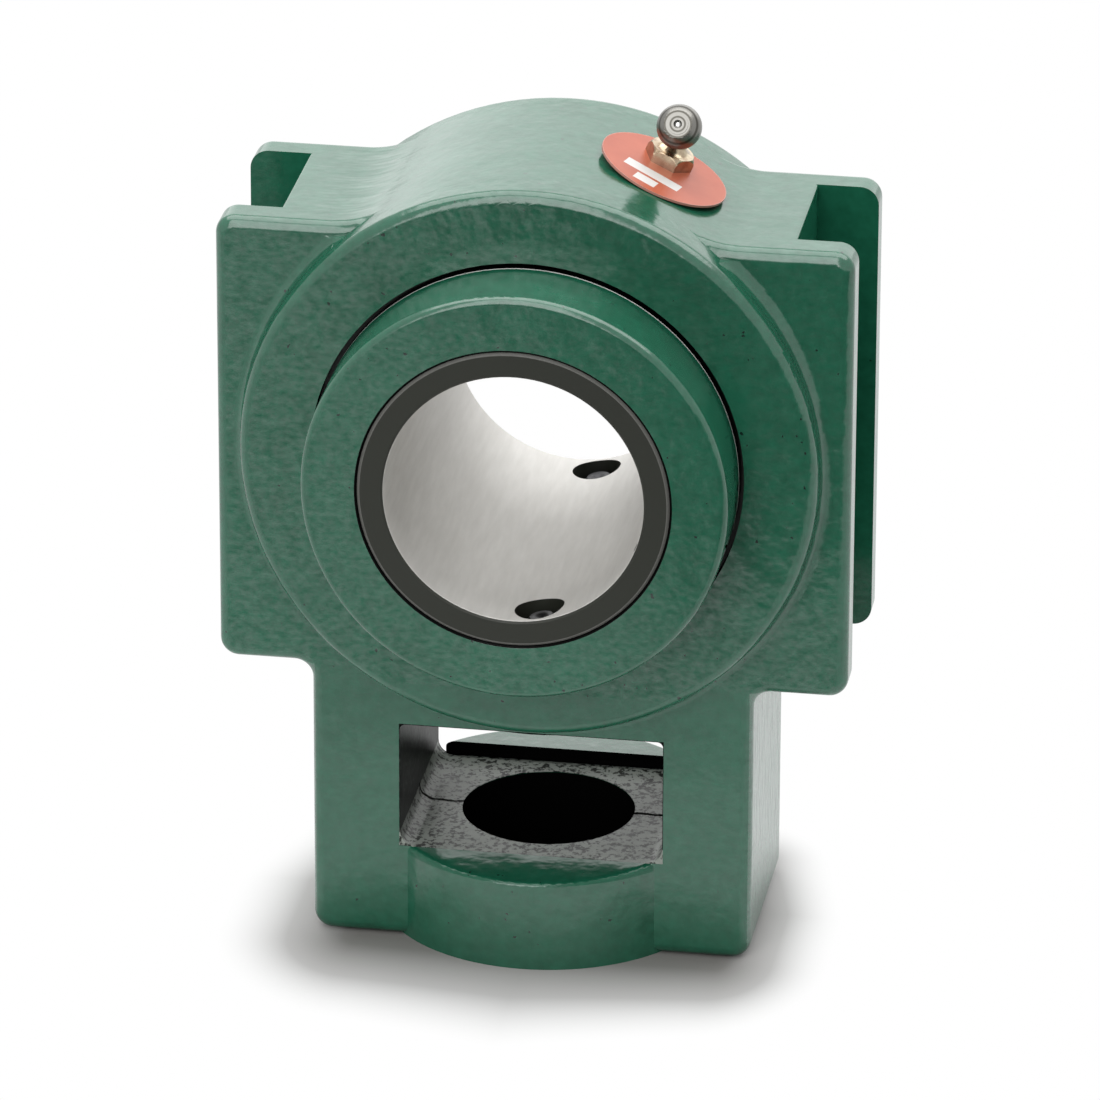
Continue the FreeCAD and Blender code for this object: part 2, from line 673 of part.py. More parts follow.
def fitting_hexagon():
    """Hexagon with chamfered corners and a hollow shoulder up to the neck."""
    corner_r = HEX_AF / math.sqrt(3)
    flat_r = HEX_AF / 2
    slope = (HEX_H - HEX_CORNER_H) / (corner_r - flat_r)
    chamfer = Part.makeCone(flat_r + HEX_H / slope, flat_r, HEX_H)
    hexagon = hexagon_prism(HEX_AF, HEX_H).common(chamfer)
    low, high = Vector(flat_r * 0.97, 0, HEX_H), Vector(NECK_R, 0, HEX_H + SHOULDER_H)
    reach = low.x - high.x
    middle = Vector(high.x + reach * (1 - math.sin(EIGHTH)), 0,
                    low.z + SHOULDER_H * (1 - math.cos(EIGHTH)))
    edges = [Part.Arc(low, middle, high).toShape(),
             Part.makeLine(high, Vector(0, 0, high.z)), Part.makeLine(Vector(0, 0, high.z), ORIGIN),
             Part.makeLine(ORIGIN, Vector(low.x, 0, 0)), Part.makeLine(Vector(low.x, 0, 0), low)]
    shoulder = Part.Face(Part.Wire(edges)).revolve(ORIGIN, Z_AXIS, 360)
    body = hexagon.fuse(shoulder)
    turn = Rotation(Z_AXIS, grease_direction()).multiply(Rotation(Z_AXIS, HEX_TURN))
    body.Placement = Placement(grease_point(HEX_SEAT), turn)
    return body


def grease_fitting():
    elbow_height = HEX_SEAT + ELBOW_H
    body = grease_cylinder(FITTING_THREAD_R, LABEL_SEAT - FITTING_THREAD_L, HEX_SEAT + 0.5)
    head = Part.makeSphere(HEAD_R, on_head_axis(HEAD_OFFSET))
    head = head.cut(head_cylinder(HEAD_R + 1, head_flat(), head_flat() + HEAD_R))
    crimp_end = head_flat() + CRIMP_H
    for piece in (fitting_hexagon(), grease_cylinder(NECK_R, HEX_SEAT, elbow_height),
                  Part.makeSphere(NECK_R, on_head_axis(0)),
                  head_cylinder(NECK_R, 0, HEAD_OFFSET), head,
                  head_cylinder(CRIMP_R, head_flat() - 0.5, crimp_end)):
        body = body.fuse(piece)
    cavity_end = crimp_end - TIP_WALL
    return body.cut([grease_cylinder(PASSAGE_R, LABEL_SEAT - FITTING_THREAD_L - 1, elbow_height),
                     Part.makeSphere(PASSAGE_R, on_head_axis(0)),
                     head_cylinder(PASSAGE_R, 0, cavity_end),
                     head_cylinder(TIP_HOLE_R, cavity_end - 1, crimp_end + 1)]).removeSplitter()


def check_ball_distance():
    seat = head_flat() + CRIMP_H - TIP_WALL
    return seat - math.sqrt(CHECK_BALL_R ** 2 - TIP_HOLE_R ** 2) - CHECK_BALL_GAP


def check_ball():
    return Part.makeSphere(CHECK_BALL_R, on_head_axis(check_ball_distance()))


def check_spring():
    """Coil spring whose last turn lies against the ball."""
    helix = Part.makeHelix(SPRING_L / SPRING_TURNS, SPRING_L, SPRING_COIL_R)
    section = Part.Wire(Part.makeCircle(SPRING_WIRE_R, Vector(SPRING_COIL_R, 0, 0), Y_AXIS))
    coil = Part.Wire(helix).makePipeShell([section], True, True)
    behind = math.sqrt((CHECK_BALL_R + SPRING_WIRE_R) ** 2 - SPRING_COIL_R ** 2) + SPRING_GAP
    start = on_head_axis(check_ball_distance() - behind - SPRING_L)
    coil.Placement = Placement(start, Rotation(Z_AXIS, head_direction()))
    return coil


def label_washer():
    washer = grease_cylinder(LABEL_R, LABEL_SEAT, HEX_SEAT, LABEL_FORWARD)
    return washer.cut(grease_cylinder(FITTING_THREAD_R + LABEL_HOLE_GAP, LABEL_SEAT - 1,
                                      HEX_SEAT + 1))


def save(name, shape):
    solids = shape.Solids
    whole = solids[0] if len(solids) == 1 else Part.makeCompound(solids)
    whole.exportStep("parts/" + name + ".step")


def main():
    os.makedirs("parts", exist_ok=True)
    save("housing", housing())
    save("inner_race", inner_race())
    save("cup_spacer", cup_spacer())
    save("adjusting_ring", adjusting_ring())
    save("ring_lock_pin", lock_pin())
    for side, row in ((-1, "front"), (1, "rear")):
        save(row + "_cup", cup(side))
        save(row + "_cage", cage(side))
        save(row + "_seal", seal(side))
        save(row + "_collar", collar(side))
        for number, angle in enumerate(SCREW_ANGLES, 1):
            save("%s_set_screw_%d" % (row, number), set_screw(side, angle))
        for index in range(ROLLERS_PER_ROW):
            save("%s_roller_%02d" % (row, index + 1), roller(side, index))
    save("grease_fitting", grease_fitting())
    save("check_ball", check_ball())
    save("check_spring", check_spring())
    save("label_washer", label_washer())


main()
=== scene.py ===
# %% [markdown]
# # A take-up bearing unit, dressed for the camera
# The construction is already there as solids at real size: a cast housing, a tapered roller
# bearing, two set collars and an angled grease fitting. This lesson gives those solids their
# paint, steel and rubber, adds the relief that is too fine for the construction, and lights
# the part like a small object in a photo studio.
# We start by loading the frame and keeping its box.

# %% Load the frame
import json
import math

import bmesh
import bpy
from mathutils import Matrix, Vector


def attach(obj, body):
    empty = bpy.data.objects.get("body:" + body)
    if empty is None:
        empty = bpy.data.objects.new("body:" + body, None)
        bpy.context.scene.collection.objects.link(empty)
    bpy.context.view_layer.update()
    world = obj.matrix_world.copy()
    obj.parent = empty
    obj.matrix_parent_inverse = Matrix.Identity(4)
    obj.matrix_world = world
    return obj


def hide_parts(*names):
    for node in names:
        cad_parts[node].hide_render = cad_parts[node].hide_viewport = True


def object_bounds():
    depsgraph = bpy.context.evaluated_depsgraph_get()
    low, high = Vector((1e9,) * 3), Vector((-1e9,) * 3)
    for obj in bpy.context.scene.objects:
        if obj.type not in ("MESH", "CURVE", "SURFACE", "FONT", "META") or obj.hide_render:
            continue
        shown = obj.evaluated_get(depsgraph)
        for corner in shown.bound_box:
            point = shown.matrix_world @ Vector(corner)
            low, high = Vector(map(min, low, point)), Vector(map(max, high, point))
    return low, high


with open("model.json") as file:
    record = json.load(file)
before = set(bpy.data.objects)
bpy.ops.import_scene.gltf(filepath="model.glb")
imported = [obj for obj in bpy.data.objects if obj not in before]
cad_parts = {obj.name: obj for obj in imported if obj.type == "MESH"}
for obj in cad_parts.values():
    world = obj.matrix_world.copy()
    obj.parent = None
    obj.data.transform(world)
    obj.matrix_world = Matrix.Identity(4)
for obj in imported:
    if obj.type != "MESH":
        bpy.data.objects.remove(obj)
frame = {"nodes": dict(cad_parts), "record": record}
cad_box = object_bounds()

NODES = frame["nodes"]
print("box", [[round(v, 4) for v in corner] for corner in cad_box])

# %% [markdown]
# ## The sizes that the finishes need
# Paint, bare steel and shadow meet at edges of the construction, so the places of those
# edges are kept here by name. Blender counts in metres. The shaft is the Y axis, the front
# looks along -Y and +Z is up, with the middle of the flanges at the origin.

# %% Sizes
MM = 0.001
SHAFT_R = 19.05 * MM
RACE_END_R = 22.9 * MM
COLLAR_R = 31.3 * MM
OPENING_R = 32.0 * MM         # opening of the housing round a collar
RING_OUTER_R = 35.3 * MM      # bore of the housing behind the front lip
FRONT_LIP = 2.9 * MM          # how far back that bore starts
FRONT_FACE_Y = -21.6 * MM     # faces of the boss
REAR_FACE_Y = 20.0 * MM
RACE_FRONT_Y = -33.7 * MM
RACE_REAR_Y = 28.5 * MM
FLANGE_FACE_Y = 16.7 * MM
FLANGE_BOTTOM_Z = -35.6 * MM
FOOT_HALF_W = 33.0 * MM
WINDOW_HALF_W = 19.75 * MM
WINDOW_TOP_Z = -44.5 * MM
WINDOW_FLOOR_Z = -64.2 * MM
SCREW_HOLE_R = 13.0 * MM
SLOT_FLOOR_X = 37.9 * MM      # floors of the two rail slots
SLOT_HALF_W = 11.2 * MM
print("shaft", 2 * SHAFT_R / MM, "mm, length over the race", (RACE_REAR_Y - RACE_FRONT_Y) / MM)

# %% [markdown]
# ## Helpers for pieces
# A finished piece keeps its place in its mesh, with its object at the origin. It is linked to
# the scene, gets one material and is told which body carries it.
# The solids arrive as loose triangles. Their merged copy could simply be shaded smoothly, but
# then a small round would bend the light on the wide flat face beside it. A weighted normal
# modifier looks at single triangles, and a flat face is many of them. So we first find the
# level patch that each triangle lies in, and weigh the normals by its area: the flats decide
# at their rims, and a round only shades itself.

# %% Helpers for pieces
MERGE_DISTANCE = 2e-6
LEVEL = 0.99999               # cosine between triangles that lie in one plane
PER_SQUARE_MM = 1e6
SMOOTH_ANGLE = 35.0


def new_object(name, bm):
    """Turn a bmesh into a linked object at the origin."""
    mesh = bpy.data.meshes.new(name)
    bm.to_mesh(mesh)
    bm.free()
    obj = bpy.data.objects.new(name, mesh)
    bpy.context.scene.collection.objects.link(obj)
    return obj


def level_patches(mesh):
    """Area of the level patch that each face belongs to."""
    bm = bmesh.new()
    bm.from_mesh(mesh)
    bm.faces.ensure_lookup_table()
    area_of = [0.0] * len(bm.faces)
    seen = set()
    for start in bm.faces:
        if start.index in seen:
            continue
        seen.add(start.index)
        patch, waiting = [], [start]
        while waiting:
            face = waiting.pop()
            patch.append(face)
            for edge in face.edges:
                for other in edge.link_faces:
                    if other.index not in seen and other.normal.dot(start.normal) > LEVEL:
                        seen.add(other.index)
                        waiting.append(other)
        area = sum(face.calc_area() for face in patch)
        for face in patch:
            area_of[face.index] = area
    bm.free()
    return area_of


def keep_flats_flat(mesh, angle):
    """Wide level patches decide the shading at their rims, so a round only shades itself."""
    area_of = level_patches(mesh)
    limit = math.cos(math.radians(angle))
    normals = [face.normal.copy() for face in mesh.polygons]
    around = [[] for _ in mesh.vertices]
    for face in mesh.polygons:
        for corner in face.vertices:
            around[corner].append(face.index)
    found = []
    for face in mesh.polygons:
        own = normals[face.index]
        for corner in face.vertices:
            total = Vector((0.0, 0.0, 0.0))
            for other in around[corner]:
                if normals[other].dot(own) > limit:
                    total += normals[other] * (area_of[other] * PER_SQUARE_MM) ** 2
            found.append(total.normalized())
    mesh.normals_split_custom_set(found)


print("piece helpers ready, merging below", MERGE_DISTANCE / MM, "mm")

# %% [markdown]
# ## From a node to a dressed piece
# What shows gets a smooth skin, which stands for its node and rides on the node's body. What
# is sealed inside keeps its triangles and only gets a material.

# %% Skins


def body_of_node(node):
    """Name of the body that carries a node."""
    for body, names in frame["record"]["behaviour"]["bodies"].items():
        if node in names:
            return body
    return None


def smooth_skin(node, material, angle=SMOOTH_ANGLE):
    """A merged, smoothly shaded copy stands for the loose triangles of a node."""
    bm = bmesh.new()
    bm.from_mesh(NODES[node].data)
    bmesh.ops.remove_doubles(bm, verts=bm.verts, dist=MERGE_DISTANCE)
    skin = new_object(node + "_skin", bm)
    skin.data.shade_smooth()
    skin.data.set_sharp_from_angle(angle=math.radians(angle))
    skin.data.materials.append(material)
    body = body_of_node(node)
    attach(skin, body)
    keep_flats_flat(skin.data, angle)
    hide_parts(node)
    print(skin.name, len(skin.data.polygons), "faces on", body)


def paint(node, material):
    """Give a node of the construction its finish."""
    mesh = NODES[node].data
    mesh.materials.clear()
    mesh.materials.append(material)


print("the housing rides on", body_of_node("housing"))

# %% [markdown]
# ## Helpers for materials
# A procedural finish is a small network of nodes. Object coordinates are metres on the part,
# so a noise scale of 1000 gives grains about a millimetre wide. The pattern is fixed to the
# part, whatever way it is turned or seen.

# %% Helpers for materials


def new_material(name):
    """New material, its node tree and its main shader."""
    material = bpy.data.materials.new(name)
    material.use_nodes = True
    tree = material.node_tree
    return material, tree, tree.nodes["Principled BSDF"]


def node_of(tree, kind, **settings):
    """New node of a kind, with its settings made."""
    made = tree.nodes.new(kind)
    for key, value in settings.items():
        setattr(made, key, value)
    return made


def object_place(tree):
    """Place on the piece, in metres."""
    return tree.nodes.new("ShaderNodeTexCoord").outputs["Object"]


def stretched(tree, place, scale):
    """The same place, squeezed along some axes so that marks on it run long."""
    squeeze = tree.nodes.new("ShaderNodeMapping")
    squeeze.inputs["Scale"].default_value = scale
    tree.links.new(place, squeeze.inputs["Vector"])
    return squeeze.outputs["Vector"]


def noise(tree, scale, detail=3.0, roughness=0.5, place=None):
    """Noise round 0.5; scale is about the number of grains in a metre."""
    made = tree.nodes.new("ShaderNodeTexNoise")
    made.inputs["Scale"].default_value = scale
    made.inputs["Detail"].default_value = detail
    made.inputs["Roughness"].default_value = roughness
    tree.links.new(place or object_place(tree), made.inputs["Vector"])
    return made.outputs["Fac"]


def ramp(tree, value, stops):
    """Colour ramp from (position, colour) pairs."""
    made = tree.nodes.new("ShaderNodeValToRGB")
    elements = made.color_ramp.elements
    while len(elements) < len(stops):
        elements.new(0.5)
    for element, (position, colour) in zip(elements, stops):
        element.position = position
        element.color = (*colour, 1.0)
    tree.links.new(value, made.inputs["Fac"])
    return made.outputs["Color"]


def bump(tree, shader, height, strength, distance, below=None):
    """Relief from a height; distance is its depth in metres, and below what it lies on."""
    made = tree.nodes.new("ShaderNodeBump")
    made.inputs["Distance"].default_value = distance
    if isinstance(strength, float):
        made.inputs["Strength"].default_value = strength
    else:
        tree.links.new(strength, made.inputs["Strength"])
    tree.links.new(height, made.inputs["Height"])
    if below is not None:
        tree.links.new(below, made.inputs["Normal"])
    tree.links.new(made.outputs["Normal"], shader.inputs["Normal"])
    return made.outputs["Normal"]


print("material helpers ready")

# %% [markdown]
# ## Arithmetic on the surface
# Math nodes work on a number at every point of the surface. One helper makes the node and
# links or fills its sockets, and the short ones below read like the sentence they stand for.

# %% Arithmetic


def arithmetic(tree, operation, first, second=None, third=None):
    """One Math node; each value is a number or a socket to link."""
    made = node_of(tree, "ShaderNodeMath", operation=operation)
    for socket, value in zip(made.inputs, (first, second, third)):
        if value is None:
            continue
        if isinstance(value, (int, float)):
            socket.default_value = value
        else:
            tree.links.new(value, socket)
    return made.outputs["Value"]


def product(tree, *values):
    found = values[0]
    for value in values[1:]:
        found = arithmetic(tree, "MULTIPLY", found, value)
    return found


def times_plus(tree, value, factor, added):
    """value * factor + added"""
    return arithmetic(tree, "MULTIPLY_ADD", value, factor, added)


def size_of(tree, value):
    """The value without its sign."""
    return arithmetic(tree, "ABSOLUTE", value)


def not_below_zero(tree, value):
    return arithmetic(tree, "MAXIMUM", value, 0.0)


def length_of(tree, first, second):
    """Length of an arrow from its two parts."""
    squared = times_plus(tree, first, first, product(tree, second, second))
    return arithmetic(tree, "SQRT", squared)


def blend_value(tree, mask, outside, inside):
    """One number outside a mask and another inside it."""
    return times_plus(tree, mask, inside - outside, outside)


def blend_colour(tree, mask, outside, inside):
    """One colour outside a mask and another inside it."""
    mix = node_of(tree, "ShaderNodeMix", data_type="RGBA")
    for name, value in (("Factor", mask), ("A", outside), ("B", inside)):
        if isinstance(value, tuple):
            mix.inputs[name].default_value = (*value, 1.0)
        else:
            tree.links.new(value, mix.inputs[name])
    return mix.outputs["Result"]


print("arithmetic ready")

# %% [markdown]
# ## Masks from a place on the part
# Some finishes end at an edge of one piece: the spray could not reach into a gap, or one
# face is ground and the next is black. Painting such a mask by hand would need an unwrapped
# mesh. Here a mask comes from simple questions about the place: how far from the shaft axis,
# how far back, how high, and for one of them which way the face looks. It is 1 where a finish
# holds and 0 elsewhere, and a hair of slack keeps it off the edge itself.

# %% Masks
SLACK = 0.1 * MM
LOOKS_ALONG = 0.985           # part of the normal that points along the shaft


def axes_of(tree, place):
    split = tree.nodes.new("ShaderNodeSeparateXYZ")
    tree.links.new(place, split.inputs["Vector"])
    return split.outputs["X"], split.outputs["Y"], split.outputs["Z"]


def under(tree, value, limit):
    return arithmetic(tree, "LESS_THAN", value, limit)


def over(tree, value, limit):
    return arithmetic(tree, "GREATER_THAN", value, limit)


def all_of(tree, *masks):
    """1 where every mask is 1."""
    return product(tree, *masks)


def any_of(tree, *masks):
    """1 where at least one mask is 1."""
    found = masks[0]
    for mask in masks[1:]:
        found = arithmetic(tree, "MAXIMUM", found, mask)
    return found


def faces_front_or_back(tree):
    """1 on flat faces that look along the shaft, 0 on rounds, tops and sides."""
    x, y, z = axes_of(tree, tree.nodes.new("ShaderNodeTexCoord").outputs["Normal"])
    return over(tree, size_of(tree, y), LOOKS_ALONG)


print("masks keep", SLACK / MM, "mm of slack")

# %% [markdown]
# ## Green enamel on sand-cast iron
# The unit is sprayed with a glossy dark green enamel after it is put together, so the
# housing and the collars share one coat. Up close the coat is not flat: the sand leaves a
# pebbled skin, the spray adds a fine orange peel, and a few pits stay dark.
# Two noises shift the colour a little and the peaks of a third are the pits. Three more, at
# three sizes, make the relief, each lying on the wider one.

# %% Green enamel
GREEN_DEEP = (0.0090, 0.090, 0.049)
GREEN_FULL = (0.0135, 0.123, 0.069)
GREEN_SPREAD = (0.35, 0.65)
PIT_DARK = (0.003, 0.020, 0.013)
PIT_LEVEL = 0.775
ENAMEL_IOR = 1.7

# Each noise is its scale, its detail and its roughness
CLOUDS = (45.0, 3.0, 0.55)
MOTTLE = (480.0, 2.0, 0.6)
MOTTLE_SHARE = 0.6
PITS = (900.0, 1.0, 0.4)
SWELL = (70.0, 1.0, 0.5)
SAND = (330.0, 2.0, 0.5)
ORANGE_PEEL = (1300.0, 1.0, 0.5)
SWELL_DEPTH = 0.3 * MM
SAND_DEPTH = 0.11 * MM
PEEL_DEPTH = 0.004 * MM


def enamel_colour(tree, place):
    """Green that drifts and mottles, with dark pits."""
    drift = noise(tree, *CLOUDS, place)
    mottle = noise(tree, *MOTTLE, place)
    tone = times_plus(tree, mottle, MOTTLE_SHARE, product(tree, drift, 1.0 - MOTTLE_SHARE))
    colour = ramp(tree, tone, [(GREEN_SPREAD[0], GREEN_DEEP), (GREEN_SPREAD[1], GREEN_FULL)])
    pits = over(tree, noise(tree, *PITS, place), PIT_LEVEL)
    return blend_colour(tree, pits, colour, PIT_DARK)


def enamel_relief(tree, shader, place, strength, below=None):
    """Swell, sand and orange peel, each lying on the wider one."""
    wide = bump(tree, shader, noise(tree, *SWELL, place), strength, SWELL_DEPTH, below)
    middle = bump(tree, shader, noise(tree, *SAND, place), strength, SAND_DEPTH, wide)
    bump(tree, shader, noise(tree, *ORANGE_PEEL, place), 1.0, PEEL_DEPTH, middle)


print("enamel from", GREEN_DEEP, "to", GREEN_FULL)

# %% [markdown]
# ## The sheen of the pebbles
# The flat front faces mirror the pale floor ahead of them. The flank of each pebble looks
# elsewhere and stays green, so the sheen comes out mottled. More relief would do it too, but
# it would also break up every highlight on the rounds. Turning the gloss itself up and down
# with a noise, strongly on the flat faces and a little elsewhere, keeps the rounds clean.

# %% Pebbled gloss
PEBBLES = (800.0, 2.0, 0.5)
PEBBLE_SQUEEZE = (1.0, 1.0, 1.7)
NOISE_MIDDLE = 0.5            # a noise swings round this
PEBBLES_ON_ROUNDS = 0.5       # how far the gloss swings there
PEBBLES_ON_FACES = 2.1
COAT_GLOSS = 0.5              # specular level of the coat


def pebbled_gloss(tree, place, swing):
    """A factor round 1 that turns the gloss up and down from pebble to pebble."""
    spots = noise(tree, *PEBBLES, stretched(tree, place, PEBBLE_SQUEEZE))
    from_middle = arithmetic(tree, "SUBTRACT", spots, NOISE_MIDDLE)
    return not_below_zero(tree, times_plus(tree, from_middle, swing, 1.0))


print("gloss of the coat", COAT_GLOSS)

# %% [markdown]
# ## Where the housing's coat ends or changes
# The spray did not reach the running gap round the collar or the bore behind it, and these are
# painted near black as shade, as are the screw hole and the step in the window floor. The slots
# for the rails only caught a thin, dull coat. The nut window got a thin, rough one: its walls
# are painted near black as shade and its floor light grey as a painted reflection. Where the
# two halves of the mould met, a fine dark seam crosses its floor.

# %% Places on the housing
SEAM = (300.0, 3.0, 0.7)
SEAM_WANDER = 1.6 * MM        # how far the seam wanders
SEAM_MIDDLE = 0.9 * MM        # half of that and a little more, so it runs near y = 0
SEAM_HALF_W = 0.34 * MM
SEAM_HEIGHT = 2.5 * MM        # how far the seam climbs the corner of the floor
FLOOR_CORNER = 2.2 * MM       # height of the rounded corner beside the floor
REAR_STEP = 2.3 * MM          # height of the step in the floor and its corner
# Where a mask starts or stops beside its edge, so that it takes in or leaves out the round
PAST_FACES = 0.25 * MM        # the window, beyond the faces it opens through
PAST_OPENING = 0.12 * MM      # the running gap, behind the wall of the opening
UNDER_FLOOR = 0.15 * MM       # the screw hole, under the floor
BEFORE_REAR = 0.3 * MM        # the step, before the rear face
INSIDE_FOOT = 0.5 * MM        # the side of the foot, inwards


def in_window(tree, at):
    x, y, z = at
    return all_of(tree, under(tree, size_of(tree, x), WINDOW_HALF_W + SLACK),
                  under(tree, size_of(tree, y), FLANGE_FACE_Y + PAST_FACES),
                  over(tree, z, WINDOW_FLOOR_Z - SLACK), under(tree, z, WINDOW_TOP_Z + SLACK))


def mould_seam(tree, at, window):
    """Thin wandering line across the floor of the window."""
    x, y, z = at
    line = times_plus(tree, noise(tree, *SEAM), SEAM_WANDER, y)
    off_line = size_of(tree, arithmetic(tree, "SUBTRACT", line, SEAM_MIDDLE))
    return all_of(tree, under(tree, off_line, SEAM_HALF_W), window,
                  under(tree, z, WINDOW_FLOOR_Z + SEAM_HEIGHT))


def painted_shade_places(tree, at, window):
    """Painted shade, near black: unpainted front gap and bearing bore, screw hole, window step.
    """
    x, y, z = at
    radius = length_of(tree, x, z)
    front_gap = all_of(tree, under(tree, radius, OPENING_R + PAST_OPENING),
                       over(tree, y, FRONT_FACE_Y + 2 * SLACK))
    bore = all_of(tree, under(tree, radius, RING_OUTER_R + SLACK),
                  over(tree, y, FRONT_FACE_Y + FRONT_LIP),
                  under(tree, y, REAR_FACE_Y - 2 * SLACK))
    screw_hole = all_of(tree, under(tree, length_of(tree, x, y), SCREW_HOLE_R + SLACK / 2),
                        under(tree, z, WINDOW_FLOOR_Z - UNDER_FLOOR))
    step = all_of(tree, window, over(tree, y, FLANGE_FACE_Y - BEFORE_REAR),
                  under(tree, z, WINDOW_FLOOR_Z + REAR_STEP))
    return any_of(tree, front_gap, bore, screw_hole, step)


def in_rail_slot(tree, at):
    x, y, z = at
    return all_of(tree, over(tree, size_of(tree, x), SLOT_FLOOR_X - SLACK),
                  under(tree, size_of(tree, y), SLOT_HALF_W + SLACK / 2),
                  over(tree, z, FLANGE_BOTTOM_Z))


def foot_side(tree, at):
    x, y, z = at
    return all_of(tree, over(tree, size_of(tree, x), FOOT_HALF_W - INSIDE_FOOT),
                  under(tree, z, FLANGE_BOTTOM_Z))


print("window floor at", round(WINDOW_FLOOR_Z / MM, 1), "mm")

# %% [markdown]
# ## Marks of the casting
# Where the crown runs down into the left deck, the iron chilled in long creases. The sides of
# the foot were drawn out of the sand and carry upright streaks. Both are shallower than the
# construction can hold, so they are relief: a noise squeezed along the marks, faded out by a
# mask.

# %% Casting marks
CREASES = (260.0, 2.0, 0.6)
CREASE_SQUEEZE = (0.30, 1.0, 0.30)
CREASE_FROM_X, CREASE_TO_X = -38 * MM, -17 * MM
CREASE_MIDDLE_X = -27 * MM
CREASE_FADE = 10.5 * MM
CREASE_LOWEST_Z = 28 * MM
CREASE_HALF_W = 14 * MM
CREASE_DEPTH = 0.22 * MM
STREAKS = (420.0, 3.0, 0.6)
STREAK_SQUEEZE = (1.0, 1.0, 0.30)
STREAK_DEPTH = 0.2 * MM


def casting_marks(tree, shader, place, at):
    """Creases beside the crown and streaks down the foot."""
    x, y, z = at
    blend = all_of(tree, under(tree, x, CREASE_TO_X), over(tree, x, CREASE_FROM_X),
                   over(tree, z, CREASE_LOWEST_Z), under(tree, size_of(tree, y), CREASE_HALF_W))
    from_middle = size_of(tree, arithmetic(tree, "SUBTRACT", x, CREASE_MIDDLE_X))
    fade = times_plus(tree, from_middle, -1.0 / CREASE_FADE, 1.0)
    creases = noise(tree, *CREASES, stretched(tree, place, CREASE_SQUEEZE))
    creased = bump(tree, shader, creases, product(tree, blend, not_below_zero(tree, fade)),
                   CREASE_DEPTH)
    streaks = noise(tree, *STREAKS, stretched(tree, place, STREAK_SQUEEZE))
    return bump(tree, shader, streaks, foot_side(tree, at), STREAK_DEPTH, creased)


print("creases", CREASE_DEPTH / MM, "mm deep, streaks", STREAK_DEPTH / MM)

# %% [markdown]
# ## One material for the whole casting
# The housing is one piece of iron with one coat, so one material holds the green, the painted
# shade of the gaps and holes, and the painted shade and reflection in the window. Colour and
# gloss each start from the plain coat and are changed by one mask after the other. The sand is
# felt more on the outer faces than inside the slots, and the streaked sides of the foot shine
# at a shallow angle.

# %% Housing enamel
# Near black: painted shade in gaps, bores, holes and the window step, and the real dark seam
# and paint chips
SHADE_AND_MARK_BLACK = (0.003, 0.003, 0.003)
SPECKLE = (1100.0, 3.0, 0.7)
# In the window the walls are painted near black as shade and the floor light grey as a painted
# reflection, both flecked by the speckle
WALL_PAINTED_SHADE = [(0.52, (0.001, 0.002, 0.0015)), (0.72, (0.055, 0.068, 0.058))]
FLOOR_PAINTED_REFLECTION = [(0.43, (0.004, 0.006, 0.004)), (0.50, (0.29, 0.317, 0.287))]
COAT_ROUGHNESS = 0.16
WINDOW_ROUGHNESS = 0.32
WALL_GLOSS = 0.04             # shares of the coat's own gloss
FLOOR_GLOSS = 0.20
SLOT_GLOSS = 0.35
LOW_FRONT_GLOSS = 0.4
FOOT_SIDE_GLOSS = 2.0
LOW_FRONT_DROP = 1.3 * MM     # the front of the screw boss falls this far under the floor
BEFORE_FRONT = 0.15 * MM      # its mask starts this far before the front face
OUTER_FACES_Y = 15.2 * MM
INNER_RELIEF = 0.5


def housing_colour(tree, place, window, low, dark):
    """Enamel outside, painted shade and reflection in the window, and near black shade and
    seam.
    """
    speckle = noise(tree, *SPECKLE, place)
    # Painted shade on the window's walls and a painted reflection on its floor
    window_shade_and_reflection = blend_colour(tree, low, ramp(tree, speckle, WALL_PAINTED_SHADE),
                             ramp(tree, speckle, FLOOR_PAINTED_REFLECTION))
    colour = blend_colour(tree, window, enamel_colour(tree, place), window_shade_and_reflection)
    return blend_colour(tree, dark, colour, SHADE_AND_MARK_BLACK)


def housing_gloss(tree, place, at, window, low, dark):
    """Gloss of the coat, changed by one mask after the other."""
    x, y, z = at
    in_thin_coat = times_plus(tree, window, arithmetic(
        tree, "SUBTRACT", blend_value(tree, low, WALL_GLOSS, FLOOR_GLOSS), 1.0), 1.0)
    low_front = all_of(tree, under(tree, y, -FLANGE_FACE_Y - BEFORE_FRONT),
                       under(tree, z, WINDOW_FLOOR_Z + SLACK),
                       over(tree, z, WINDOW_FLOOR_Z - LOW_FRONT_DROP))
    faces = all_of(tree, faces_front_or_back(tree), over(tree, z, FLANGE_BOTTOM_Z))
    swing = blend_value(tree, faces, PEBBLES_ON_ROUNDS, PEBBLES_ON_FACES)
    return product(tree, blend_value(tree, dark, COAT_GLOSS, 0.0),
                   blend_value(tree, in_rail_slot(tree, at), 1.0, SLOT_GLOSS), in_thin_coat,
                   blend_value(tree, low_front, 1.0, LOW_FRONT_GLOSS),
                   blend_value(tree, foot_side(tree, at), 1.0, FOOT_SIDE_GLOSS),
                   pebbled_gloss(tree, place, swing))


